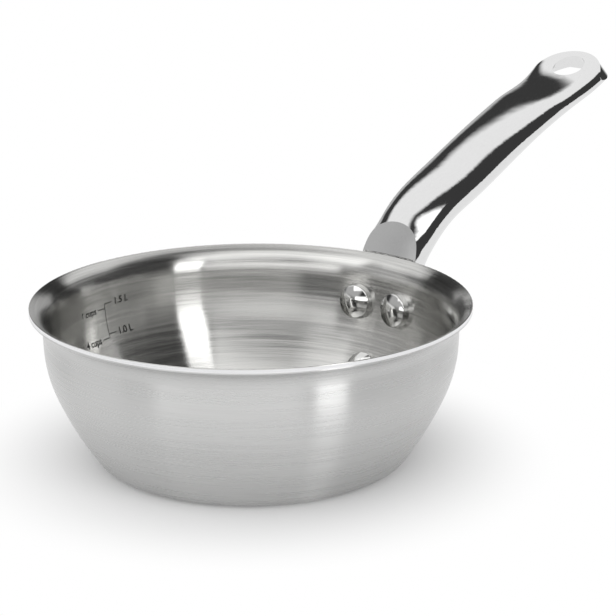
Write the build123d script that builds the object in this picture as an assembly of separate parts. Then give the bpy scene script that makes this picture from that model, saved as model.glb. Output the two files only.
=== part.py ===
# Rounded saute pan (saucier) of three-ply clad steel with a riveted cast handle.
# Lengths in mm, angles in degrees. The origin is the middle of the flat base,
# +Z is up and +X runs out along the handle. The pan is mirrored across XZ.
import os
from math import cos, pi, radians, sin, tan

from build123d import *

# The bowl: outer line of the section from the base to the lip
base_flat_radius = 71.2
corner_radius = 10.1
corner_angle = 54.5
lower_wall_radius = 171.5
lower_wall_angle = 67.0
upper_wall_radius = 66.1
upper_wall_angle = 87.7
straight_wall_length = 8.0
flare_radius = 10.7
lip_angle = 25.0
lip_length = 0.2
lip_round = 0.3

# The clad sheet, from the outside in
outer_ply_thickness = 0.6
core_ply_thickness = 1.5
inner_ply_thickness = 0.5
sheet_thickness = outer_ply_thickness + core_ply_thickness + inner_ply_thickness

# Steps of halving that find a height on the wall line
halvings = 40

# The handle. Its centre line starts in the riveted saddle, where it stands off the
# wall, climbs past the lip and follows the grip to just beyond the tip
tip_reach = 178.0
root_heights = [11.6, 14.1, 21.9, 34.2, 48.4, 64.2]
root_standoffs = [-1.8, -1.8, -2.2, -1.9, -2.0, 2.3]
grip_shares = [0.0139, 0.0689, 0.1487, 0.281, 0.446, 0.615, 0.71, 0.8, 0.86, 0.93, 1.053]
grip_heights = [-3.0, 7.6, 19.8, 30.9, 43.7, 55.7, 61.4, 65.9, 69.6, 75.9, 87.1]
half_widths = [4.5, 9.0, 14.6, 19.2, 20.8, 19.7, 18.4, 18.5, 19.3, 20.1, 20.2, 21.1, 21.1, 21.2, 22.2, 23.4, 23.8]
rises = [5.0, 5.5, 6.0, 6.5, 8.2, 13.4, 14.5, 11.6, 9.9, 10.0, 9.5, 8.0, 6.9, 6.0, 5.2, 4.5, 4.5]
drops = [3.6, 4.9, 6.3, 7.2, 8.6, 10.8, 11.6, 10.3, 10.6, 11.2, 11.1, 8.2, 6.2, 4.9, 4.5, 5.0, 6.2]
squareness_shares = [3.0, 3.0, 3.0, 3.0, 3.0, 2.65, 2.4, 2.35, 2.4, 2.4, 2.45, 2.6, 3.3, 3.6, 3.8, 4.2, 4.6]
station_count = 28
station_crowding_share = 1.2
section_points = 20

# Clearance of the cast root round the flared lip, and its leaning front face
lip_gap = 0.5
front_lean = 20.0
front_height = 60.0

# Rounded tip of the grip: a half round at its top face, the flank sloping out below
tip_radius = 22.8
tip_slope = 17.0

# Hang hole through the flattened tip
hole_setback = 14.3
hole_radius = 9.4

# Scoop cast into the underside, its roof measured up from the centre line
scoop_shares = [0.253, 0.283, 0.318, 0.357, 0.446, 0.595, 0.714, 0.822, 0.862, 0.89, 0.919, 0.934, 0.95]
scoop_roofs = [-13.0, -3.0, 4.2, 6.4, 6.7, 6.2, 4.8, 3.2, 2.7, 2.2, 2.0, 2.0, 1.9]
scoop_half_widths = [8.0, 12.0, 14.2, 15.0, 15.4, 15.6, 17.0, 17.8, 18.6, 19.2, 16.6, 14.0, 8.5]
scoop_count = 18
scoop_overrun = 20.0
scoop_square_share = 2.8

# The three rivets
rivet_radius = 3.2
head_radius = 9.7
head_shoulder = 8.8
head_rise = 6.2
head_side = 3.9
head_round = 0.9
head_skirt = 3.0
tail_radius = 6.2
tail_shoulder = 6.0
tail_rise = 2.2
tail_side = 0.7
tail_round = 0.4
seat_radius = 7.4
upper_rivet_angle = 7.8
upper_rivet_height = 54.5
lower_rivet_height = 20.6
seat_thickness = 5.0
overrun = 30.0


def wall_line(depth):
    # Base, corner, two wall sweeps, straight top, flare and lip, moved inwards by depth
    base = Line((0, depth), (base_flat_radius, depth))
    corner = JernArc(base @ 1, base % 1, corner_radius - depth, corner_angle)
    lower_sweep = lower_wall_angle - corner_angle
    lower = JernArc(corner @ 1, corner % 1, lower_wall_radius - depth, lower_sweep)
    upper_sweep = upper_wall_angle - lower_wall_angle
    upper = JernArc(lower @ 1, lower % 1, upper_wall_radius - depth, upper_sweep)
    straight = Line(upper @ 1, (upper @ 1) + (upper % 1) * straight_wall_length)
    flare_sweep = lip_angle - upper_wall_angle
    flare = JernArc(straight @ 1, straight % 1, flare_radius + depth, flare_sweep)
    lip_run = lip_length + depth * tan(radians(lip_angle))
    lip = Line(flare @ 1, (flare @ 1) + (flare % 1) * lip_run)
    return [base, corner, lower, upper, straight, flare, lip]


def spun(section):
    return revolve(Plane.XZ * section, Axis.Z)


def rounded(section, corner, radius):
    # The section with the corner nearest to a point rounded
    return fillet(section.vertices().sort_by_distance(corner)[0], radius)


def lip_corner():
    # Inner corner of the lip, which is turned off there square to the base
    return wall_line(sheet_thickness)[-1] @ 1


def ply(outer_depth, inner_depth):
    outside = wall_line(outer_depth)
    inside = wall_line(inner_depth)
    end = Line(outside[-1] @ 1, inside[-1] @ 1)
    middle = Line(inside[0] @ 0, outside[0] @ 0)
    section = make_face(outside + [end] + inside + [middle])
    if outer_depth == 0:
        section = rounded(section, end @ 0, lip_round)
    if inner_depth == sheet_thickness:
        section = rounded(section, end @ 1, lip_round)
    return spun(section)


def wall_place(height):
    # Point of the outer face of the wall at a height, and its outward direction
    edge = next(edge for edge in wall_line(0) if (edge @ 1).Y > height)
    low, high = 0, 1
    for _ in range(halvings):
        share = (low + high) / 2
        if (edge @ share).Y < height:
            low = share
        else:
            high = share
    along = edge % low
    return edge @ low, Vector(along.Y, -along.X)


def rivet_axis(height, turn):
    # Plane on the inner face of the wall, its Z pointing out through the wall
    place, out = wall_place(height)
    place = place - out * sheet_thickness
    ahead = Vector(cos(radians(turn)), sin(radians(turn)), 0)
    aside = Vector(-ahead.Y, ahead.X, 0)
    return Plane(origin=ahead * place.X + Vector(0, 0, place.Y), x_dir=aside,
                 z_dir=ahead * out.X + Vector(0, 0, out.Y))


def oval(half_width, rise, drop, squareness):
    # Closed cast section, wide across the grip and squared off by its power
    points = []
    for step in range(section_points):
        turn = 2 * pi * (step + 0.5) / section_points
        across, up = cos(turn), sin(turn)
        height = rise if up > 0 else drop
        x = half_width * abs(across) ** (2 / squareness)
        y = height * abs(up) ** (2 / squareness)
        points.append((x if across > 0 else -x, y if up > 0 else -y))
    return make_face(Spline(points, periodic=True))


def run_points():
    # Stations of the centre line: the saddle on the wall, then the neck and the grip
    points = []
    for height, standoff in zip(root_heights, root_standoffs):
        points.append(Vector(wall_place(height)[0].X + standoff, 0, height))
    lip = lip_corner()
    for share, height in zip(grip_shares, grip_heights):
        points.append(Vector(lip.X + tip_reach * share, 0, lip.Y + height))
    return points


def plane_across(place, along):
    # Plane across the run of the handle, its X across the grip and its Y up the grip
    return Plane(origin=place, x_dir=(0, 1, 0), z_dir=along)


def eased(keys, values, at):
    # Smooth curve through the listed values, read at one place between the keys
    last = len(keys) - 1
    low = max(index for index in range(last) if keys[index] <= at or index == 0)
    slopes = []
    for index in (low, low + 1):
        before, after = max(index - 1, 0), min(index + 1, last)
        slopes.append((values[after] - values[before]) / (keys[after] - keys[before]))
    span = keys[low + 1] - keys[low]
    share = (at - keys[low]) / span
    start = values[low] * (1 + 2 * share) + slopes[0] * span * share
    end = values[low + 1] * (3 - 2 * share) - slopes[1] * span * (1 - share)
    return start * (1 - share) ** 2 + end * share ** 2


def grip_body(run):
    keys = [point.X for point in run_points()]
    rows = (half_widths, rises, drops, squareness_shares)
    sections = []
    for index in range(station_count):
        share = (index / (station_count - 1)) ** station_crowding_share
        place = run @ share
        sizes = [eased(keys, row, place.X) for row in rows]
        sections.append(plane_across(place, run % share) * oval(*sizes))
    return loft(sections)


def scoop(run):
    sections = []
    for index in range(scoop_count):
        along = index / (scoop_count - 1)
        share = scoop_shares[0] + (scoop_shares[-1] - scoop_shares[0]) * along
        roof = eased(scoop_shares, scoop_roofs, share)
        half_width = eased(scoop_shares, scoop_half_widths, share)
        half_height = (roof + scoop_overrun) / 2
        face = oval(half_width, half_height, half_height, scoop_square_share)
        sections.append(plane_across(run @ share, run % share) * Pos(0, roof - half_height) * face)
    return loft(sections)


def pan_space():
    # Everything inside the outer line of the wall, the lip and the leaning front face
    outside = wall_line(0)
    straight, flare = outside[4], outside[5]
    lip = lip_corner()
    reach = lip.X + lip_gap
    top = lip.Y + front_height
    under = Line(straight @ 1, (reach, (flare @ 1).Y - lip_gap))
    edge = Line(under @ 1, (reach, lip.Y + lip_gap))
    lean = sin(radians(front_lean)) * front_height
    face = Line(edge @ 1, (reach + lean, top))
    over = Line(face @ 1, (0, top))
    middle = Line(over @ 1, outside[0] @ 0)
    return spun(make_face(outside[:5] + [under, edge, face, over, middle]))


def tip_plane():
    # Plane of the flattened tip, its X along the grip
    before, last = run_points()[-2:]
    along = (last - before).normalized()
    return Plane(origin=before, x_dir=along, z_dir=Vector(-along.Z, 0, along.X))


def tip_place(flat):
    # Distance of the tip along its plane
    return (lip_corner().X + tip_reach - flat.origin.X) / flat.x_dir.X


def tip_waste():
    # All that lies outside the rounded end of the grip
    flat = tip_plane()
    middle = tip_place(flat) - tip_radius
    spread = overrun * tan(radians(tip_slope))
    keep = Cone(tip_radius + spread, tip_radius - spread, 2 * overrun)
    block = Pos(overrun, 0, 0) * Box(2 * overrun, 4 * tip_radius, 2 * overrun)
    return flat.location * Pos(middle, 0, 0) * (block - Pos(0, 0, rises[-1]) * keep)


def hang_hole():
    flat = tip_plane()
    middle = tip_place(flat) - hole_setback
    return flat.location * Pos(middle, 0, 0) * Cylinder(hole_radius, 2 * overrun)


def head(radius, shoulder, rise, side, blend):
    # Domed button with steep sides, standing on its own plane
    dome_rise = rise - side
    dome = (shoulder * shoulder + dome_rise * dome_rise) / (2 * dome_rise)
    low = Line((0, -head_skirt), (radius, -head_skirt))
    skirt = Line(low @ 1, (radius, 0))
    edge = Line(skirt @ 1, (shoulder, side))
    crown = RadiusArc(edge @ 1, (0, rise), -dome)
    middle = Line(crown @ 1, low @ 0)
    section = make_face([low, skirt, edge, crown, middle])
    return spun(rounded(section, edge @ 1, blend))


def rivet_shank(plane):
    return plane.location * Cylinder(rivet_radius, 2 * overrun)


def seat_plane(plane):
    # Flat spot on the back of the saddle where the tail of the rivet is set
    return plane.offset(sheet_thickness + seat_thickness)


def seat_waste(plane):
    seat = seat_plane(plane).location
    return seat * Pos(0, 0, overrun / 2) * Cylinder(seat_radius, overrun)


def rivet(plane, sheet):
    # Head pressed to the inner wall, shank through sheet and saddle, tail on its seat
    button = head(head_radius, head_shoulder, head_rise, head_side, head_round)
    button = plane.location * Rot(180, 0, 0) * button
    button = (button - sheet).solids().sort_by(Axis(plane.origin, plane.z_dir))[0]
    length = head_side + sheet_thickness + seat_thickness
    shank = plane.location * Pos(0, 0, length / 2 - head_side) * Cylinder(rivet_radius, length)
    tail = head(tail_radius, tail_shoulder, tail_rise, tail_side, tail_round)
    tail = seat_plane(plane).location * tail
    below = seat_plane(plane).location * Pos(0, 0, -overrun / 2)
    tail = tail - below * Cylinder(overrun, overrun)
    return button + shank + tail


rivet_planes = {
    "rivet_upper_left": rivet_axis(upper_rivet_height, upper_rivet_angle),
    "rivet_upper_right": rivet_axis(upper_rivet_height, -upper_rivet_angle),
    "rivet_lower": rivet_axis(lower_rivet_height, 0),
}

handle_run = Spline(run_points())
parts = {
    "outer_ply": ply(0, outer_ply_thickness),
    "core_ply": ply(outer_ply_thickness, outer_ply_thickness + core_ply_thickness),
    "inner_ply": ply(outer_ply_thickness + core_ply_thickness, sheet_thickness),
    "handle": grip_body(handle_run) - pan_space() - scoop(handle_run) - tip_waste() - hang_hole(),
}
clad_sheet = ply(0, sheet_thickness)
for plane in rivet_planes.values():
    parts["handle"] -= seat_waste(plane)
for plane in rivet_planes.values():
    for name in parts:
        parts[name] -= rivet_shank(plane)
for name, plane in rivet_planes.items():
    parts[name] = rivet(plane, clad_sheet)

os.makedirs("parts", exist_ok=True)
for name, shape in parts.items():
    export_step(shape, "parts/" + name + ".step")
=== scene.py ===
import math

import bmesh
import bpy
from mathutils import Matrix, Vector


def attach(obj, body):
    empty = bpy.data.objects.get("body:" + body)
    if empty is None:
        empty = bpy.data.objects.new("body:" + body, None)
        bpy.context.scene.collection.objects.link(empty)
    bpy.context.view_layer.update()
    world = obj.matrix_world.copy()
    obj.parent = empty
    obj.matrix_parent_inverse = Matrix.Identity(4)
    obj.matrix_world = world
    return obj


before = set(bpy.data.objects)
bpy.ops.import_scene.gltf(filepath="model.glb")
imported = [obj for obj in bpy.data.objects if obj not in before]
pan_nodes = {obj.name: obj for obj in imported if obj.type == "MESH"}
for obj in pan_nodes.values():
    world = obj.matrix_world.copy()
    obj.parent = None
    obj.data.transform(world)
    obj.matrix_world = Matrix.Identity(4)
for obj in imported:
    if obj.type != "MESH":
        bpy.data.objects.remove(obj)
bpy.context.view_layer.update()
mm = 0.001


# Outside of the bowl: a thin ply of magnetic stainless steel, spun with the
# sheet and satin finished with a belt that ran round the wall, so its grain is
# circumferential and each light shows as a soft upright stripe.

class Wire:
    # One output of a node graph, with arithmetic on it

    def __init__(self, graph, socket):
        self.graph, self.socket = graph, socket

    def __add__(self, other):
        return self.graph.maths("ADD", self, other)

    def __mul__(self, other):
        return self.graph.maths("MULTIPLY", self, other)

    def __rsub__(self, other):
        return self.graph.maths("SUBTRACT", other, self)

    def __truediv__(self, other):
        return self.graph.maths("DIVIDE", self, other)

    def __pow__(self, other):
        return self.graph.maths("POWER", self, other)

    __radd__, __rmul__ = __add__, __mul__

    def step(self, low, high):
        # 0 below low, 1 above high and smooth between them
        return self.graph.node("ShaderNodeMapRange", {"interpolation_type": "SMOOTHSTEP"},
                               {"Value": self, "From Min": low, "From Max": high})

    def spread(self, low, high):
        # A value of 0 to 1 taken to the range from low to high
        return self * (high - low) + low


class Graph:
    # The nodes of a material or of the room

    def __init__(self, owner):
        owner.use_nodes = True
        self.tree = owner.node_tree

    def node(self, kind, settings=None, inputs=None, output=0):
        made = self.tree.nodes.new(kind)
        for key, value in (settings or {}).items():
            setattr(made, key, value)
        for key, value in (inputs or {}).items():
            if isinstance(value, Wire):
                self.tree.links.new(value.socket, made.inputs[key])
            else:
                made.inputs[key].default_value = value
        return Wire(self, made.outputs[output])

    def maths(self, operation, *values):
        return self.node("ShaderNodeMath", {"operation": operation}, dict(enumerate(values)))

    def along(self, vector, axis):
        # How far a vector reaches along a fixed direction
        return self.node("ShaderNodeVectorMath", {"operation": "DOT_PRODUCT"},
                         {0: vector, 1: tuple(axis)}, "Value")

    def axes(self, vector):
        return [self.node("ShaderNodeSeparateXYZ", inputs={"Vector": vector}, output=axis)
                for axis in "XYZ"]

    def from_axis(self, x, y):
        # Distance from the pan's upright axis
        return (x * x + y * y) ** 0.5

    def stretched_noise(self, vector, scales, detail, roughness):
        stretched = self.node("ShaderNodeMapping", inputs={"Vector": vector, "Scale": scales})
        return self.node("ShaderNodeTexNoise", inputs={
            "Vector": stretched, "Scale": 1.0, "Detail": detail, "Roughness": roughness},
            output="Fac")

    def mix(self, share, first, second):
        # Inputs 6 and 7 are the node's two colours and output 2 is their mix
        return self.node("ShaderNodeMix", {"data_type": "RGBA"},
                         {"Factor": share, 6: (*first, 1), 7: (*second, 1)}, 2)


class Finish(Graph):
    # A material and its principled shader

    def __init__(self, name, **constants):
        self.material = bpy.data.materials.new(name)
        super().__init__(self.material)
        self.shader = self.tree.nodes["Principled BSDF"]
        for socket, value in constants.items():
            self.shader.inputs[socket.replace("_", " ")].default_value = value

    def place(self):
        return self.node("ShaderNodeTexCoord", output="Object")

    def feed(self, socket, wire):
        self.tree.links.new(wire.socket, self.shader.inputs[socket])

    def vary(self, pattern, dark, light, smooth, rough):
        # Colour and roughness that follow a pattern of 0 to 1
        self.feed("Base Color", self.mix(pattern, dark, light))
        self.feed("Roughness", pattern.spread(smooth, rough))

    def bump(self, height, strength, distance):
        self.feed("Normal", self.node("ShaderNodeBump", inputs={
            "Height": height, "Strength": strength, "Distance": distance}, output="Normal"))


def put_on(piece, finish):
    piece.data.materials.clear()
    piece.data.materials.append(finish.material)


fine_along, coarse_along = 26, 9
grain_low, grain_high = 0.34, 0.66
fine_share = 0.55


def ring_grain(finish, fine, coarse):
    # Streaks of 0 to 1 that run round the upright axis: many rows to the metre
    # up the wall, as fine and coarse say, each of which changes slowly round it
    x, y, z = finish.axes(finish.place())
    rows = finish.node("ShaderNodeCombineXYZ", inputs={
        "X": x, "Y": y, "Z": z + finish.from_axis(x, y)})
    small = finish.stretched_noise(rows, (fine_along, fine_along, fine), detail=2.0, roughness=0.6)
    large = finish.stretched_noise(rows, (coarse_along, coarse_along, coarse),
                                   detail=1.0, roughness=0.5)
    return (small.step(grain_low, grain_high) * fine_share
            + large.step(grain_low, grain_high) * (1 - fine_share))


# A highlight on brushed steel is drawn out across the grain, here upright
brushed_round = {"Metallic": 1.0, "Anisotropic": 1.0, "Anisotropic_Rotation": 0.25}

satin = Finish("satin_steel", **brushed_round)
grain = ring_grain(satin, fine=1500, coarse=450)
satin.vary(grain, dark=(0.565, 0.565, 0.56), light=(0.615, 0.615, 0.61), smooth=0.26, rough=0.31)
satin.bump(grain, strength=0.02, distance=0.04 * mm)
put_on(pan_nodes["outer_ply"], satin)


# Core of the sheet: aluminium that spreads the heat up the wall, seen only as a
# thin bright line where the lip was trimmed.

core = Finish("aluminium_core", Metallic=1.0)
grain = ring_grain(core, fine=3000, coarse=700)
core.vary(grain, dark=(0.78, 0.78, 0.79), light=(0.86, 0.86, 0.87), smooth=0.22, rough=0.34)
put_on(pan_nodes["core_ply"], core)


# Inside of the bowl: a ply of stainless steel brushed round the wall with a
# coarser belt.

liner = Finish("brushed_liner", **brushed_round)
grain = ring_grain(liner, fine=1100, coarse=330)
liner.vary(grain, dark=(0.49, 0.49, 0.477), light=(0.65, 0.645, 0.63), smooth=0.16, rough=0.23)
liner.bump(grain, strength=0.035, distance=0.04 * mm)
put_on(pan_nodes["inner_ply"], liner)


# Volume marks: cups at the left and litres at the right of one upright line,
# etched dark into the inside of the wall. The photograph is too coarse to read
# them, so the amounts are what this bowl holds at the heights it shows.

mark_turn = math.radians(93.0)
mark_lift = 0.03 * mm
line_low, line_high = 42 * mm, 60 * mm
line_width = 0.4 * mm
line_rows = 40
tick_reach = 5.5 * mm
letter_size = 5.0 * mm
letter_gap = 1.2 * mm
stroke_gain = 0.12 * mm
cup_marks = ((42.0, "4 cups"), (57.5, "6 cups"))
litre_marks = ((44.0, "1.0 L"), (60.0, "1.5 L"))
rough_wall_reach = 100 * mm
liner_piece = pan_nodes["inner_ply"]
marks = bmesh.new()


def lettering(words, side):
    # The words as a flat mesh that ends or starts at its own upright axis
    curve = bpy.data.curves.new("words", "FONT")
    curve.body, curve.size = words, letter_size
    curve.offset = stroke_gain
    curve.align_x, curve.align_y = ("RIGHT" if side < 0 else "LEFT"), "CENTER"
    stand_in = bpy.data.objects.new("words", curve)
    flat = bpy.data.meshes.new_from_object(stand_in)
    bpy.data.objects.remove(stand_in)
    return flat


def bar(left, right, low, high, rows=1):
    # A flat bar, in rows so that a long one can follow the wall
    made = [[marks.verts.new((place, low + (high - low) * row / rows, 0))
             for place in (left, right)] for row in range(rows + 1)]
    for below, above in zip(made, made[1:]):
        marks.faces.new((*below, *reversed(above)))


def put_in_scene(name, data):
    made = bpy.data.objects.new(name, data)
    bpy.context.scene.collection.objects.link(made)
    return made


bar(-line_width / 2, line_width / 2, line_low, line_high, line_rows)
for side, side_marks in ((-1, cup_marks), (1, litre_marks)):
    for height, words in side_marks:
        height = height * mm
        bar(*sorted((0, side * tick_reach)), height - line_width / 2, height + line_width / 2)
        letters = lettering(words, side)
        letters.transform(Matrix.Translation((side * (tick_reach + letter_gap), height, 0)))
        marks.from_mesh(letters)

# Laid on the wall: across is counted round it and up is the height. The first
# try finds how far out the wall is and the second uses that
for corner in marks.verts:
    across, height, _ = corner.co
    reach = rough_wall_reach
    for _ in range(2):
        turn = mark_turn - across / reach
        outward = Vector((math.cos(turn), math.sin(turn), 0))
        on_wall = liner_piece.ray_cast(Vector((0, 0, height)), outward)[1]
        reach = on_wall.xy.length
    corner.co = on_wall - outward * mark_lift

mark_mesh = bpy.data.meshes.new("volume_marks")
marks.to_mesh(mark_mesh)
volume_marks = put_in_scene("volume_marks", mark_mesh)
etched = Finish("etched_mark", Base_Color=(0.03, 0.03, 0.028, 1), Roughness=0.55,
                Specular_IOR_Level=0.3)
put_on(volume_marks, etched)
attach(volume_marks, "root")


# Handle: one casting of stainless steel, mirror polished on a wheel, so it shows
# the room as dark and white shapes that the slow swells of its surface bend.

mirror = Finish("polished_steel", Metallic=1.0)
place = mirror.place()
swell = mirror.stretched_noise(place, (40, 60, 60), detail=1.0, roughness=0.4)
scuff = mirror.stretched_noise(place, (120, 900, 900), detail=3.0, roughness=0.6)
mirror.vary(scuff, dark=(0.70, 0.70, 0.70), light=(0.76, 0.76, 0.76), smooth=0.04, rough=0.09)
mirror.bump(swell, strength=0.15, distance=0.4 * mm)
put_on(pan_nodes["handle"], mirror)


# Rivets: three polished steel buttons, domed inside the bowl and headed over on
# the handle's saddle outside it.

button = Finish("rivet_steel", Metallic=1.0)
scuff = button.stretched_noise(button.place(), (500, 500, 500), detail=3.0, roughness=0.6)
button.vary(scuff, dark=(0.62, 0.62, 0.61), light=(0.70, 0.70, 0.69), smooth=0.03, rough=0.07)
for name in ("rivet_upper_left", "rivet_upper_right", "rivet_lower"):
    put_on(pan_nodes[name], button)


# Studio: a pale table, a dark room with soft boxes in it, a tall narrow lamp
# close by at the camera's right, and the camera.

table_reach = 30.0
shadow_core, shadow_edge = 45 * mm, 155 * mm
table = bpy.data.meshes.new("table")
table.from_pydata([(-table_reach, -table_reach, 0), (table_reach, -table_reach, 0),
                   (table_reach, table_reach, 0), (-table_reach, table_reach, 0)],
                  [], [(0, 1, 2, 3)])
table_top = put_in_scene("table_top", table)

# The table is white to the camera and in the steel away from the pan, and shaded
# near the pan, where its shadow lies
white = Finish("white_table", Base_Color=(0.72, 0.72, 0.72, 1), Roughness=1.0,
               Specular_IOR_Level=0.0)
glow = white.node("ShaderNodeEmission", inputs={"Color": (1, 1, 1, 1), "Strength": 1.0},
                  output="Emission")
seen = white.maths("MINIMUM", sum(
    white.node("ShaderNodeLightPath", output=kind)
    for kind in ("Is Camera Ray", "Is Glossy Ray", "Is Transmission Ray")), 1)
x, y, _ = white.axes(white.place())
open_table = white.from_axis(x, y).step(shadow_core, shadow_edge)
shaded = Wire(white, white.shader.outputs["BSDF"])
blend = white.node("ShaderNodeMixShader", inputs={0: seen * open_table, 1: shaded, 2: glow},
                   output="Shader")
white.tree.links.new(blend.socket, white.tree.nodes["Material Output"].inputs["Surface"])
put_on(table_top, white)

bpy.context.scene.view_settings.view_transform = "Standard"
world = bpy.data.worlds.new("room")
bpy.context.scene.world = world
room = Graph(world)
look = room.node("ShaderNodeTexCoord", output="Generated")
least_facing = 0.001


def toward(azimuth, elevation):
    turn, rise = math.radians(azimuth), math.radians(elevation)
    level = math.cos(rise)
    return Vector((math.cos(turn) * level, math.sin(turn) * level, math.sin(rise)))


def soft_box(azimuth, elevation, half_width, half_height, blur, radiance):
    # What a distant rectangle of light shows in the direction that a ray looks,
    # sizes in degrees: each edge fades over the blur, as behind a diffuser
    out, across = toward(azimuth, elevation), toward(azimuth + 90, 0)
    facing = room.maths("MAXIMUM", room.along(look, out), least_facing)
    fade = math.tan(math.radians(blur))
    shown = radiance
    for axis, half in ((across, half_width), (out.cross(across), half_height)):
        offset = room.maths("ABSOLUTE", room.along(look, axis)) / facing
        edge = math.tan(math.radians(half))
        shown = shown * (1 - offset.step(edge - fade, edge + fade))
    return shown


# Two large boxes overhead, one low in front for the back wall's middle tone, dim
# ones at the left, a low one behind and a narrow one for the band by the marks;
# the room is dark between them, which gives the steel its dark sides
overhead_front = soft_box(200, 60, 40, 20, 5, 1.5)
overhead_back = soft_box(50, 60, 50, 20, 5, 1.0)
front_low = soft_box(210, 10, 40, 10, 5, 2.0)
left_high = soft_box(150, 30, 30, 20, 10, 0.5)
left_low = soft_box(130, 0, 20, 10, 5, 1.0)
back_low = soft_box(40, 10, 30, 10, 5, 0.5)
band = soft_box(330, 10, 5, 5, 2, 1.0)
dark_room = 0.05
light = (overhead_front + overhead_back + front_low + left_high + left_low + back_low + band
         + dark_room)
room.tree.links.new(light.socket, room.tree.nodes["Background"].inputs["Color"])

# The lamp that draws the bright upright stripe on the wall, outside and inside
key_width, key_height, key_radiance = 0.23, 0.62, 3.7
key_aim, key_distance = Vector((0, 0, 60 * mm)), 0.8
key_way = toward(262.5, 16)
key_light = bpy.data.lights.new("key_strip", "AREA")
key_light.shape, key_light.size, key_light.size_y = "RECTANGLE", key_width, key_height
key_light.energy = key_radiance * math.pi * key_width * key_height
key_strip = put_in_scene("key_strip", key_light)
key_strip.location = key_aim + key_way * key_distance
key_strip.rotation_mode = "QUATERNION"
key_strip.rotation_quaternion = key_way.to_track_quat("Z", "Y")

# The camera stands where the photograph was taken from
camera_aim, camera_distance = Vector((18.41, -21.18, 75.84)) * mm, 1.0476
camera_tilt = math.radians(-0.154)
ahead = Vector((0.7232, 0.6287, -0.2860)).normalized()
right = ahead.cross(Vector((0, 0, 1))).normalized()
up = right.cross(ahead)
camera_data = bpy.data.cameras.new("camera")
camera_data.lens, camera_data.sensor_width = 123.48, 36.0
camera_data.clip_start, camera_data.clip_end = 0.05, 50
camera = put_in_scene("camera", camera_data)
bpy.context.scene.camera = camera
camera.matrix_world = (Matrix.Translation(camera_aim - ahead * camera_distance)
                       @ Matrix((right, up, -ahead)).transposed().to_4x4()
                       @ Matrix.Rotation(camera_tilt, 4, "Z"))
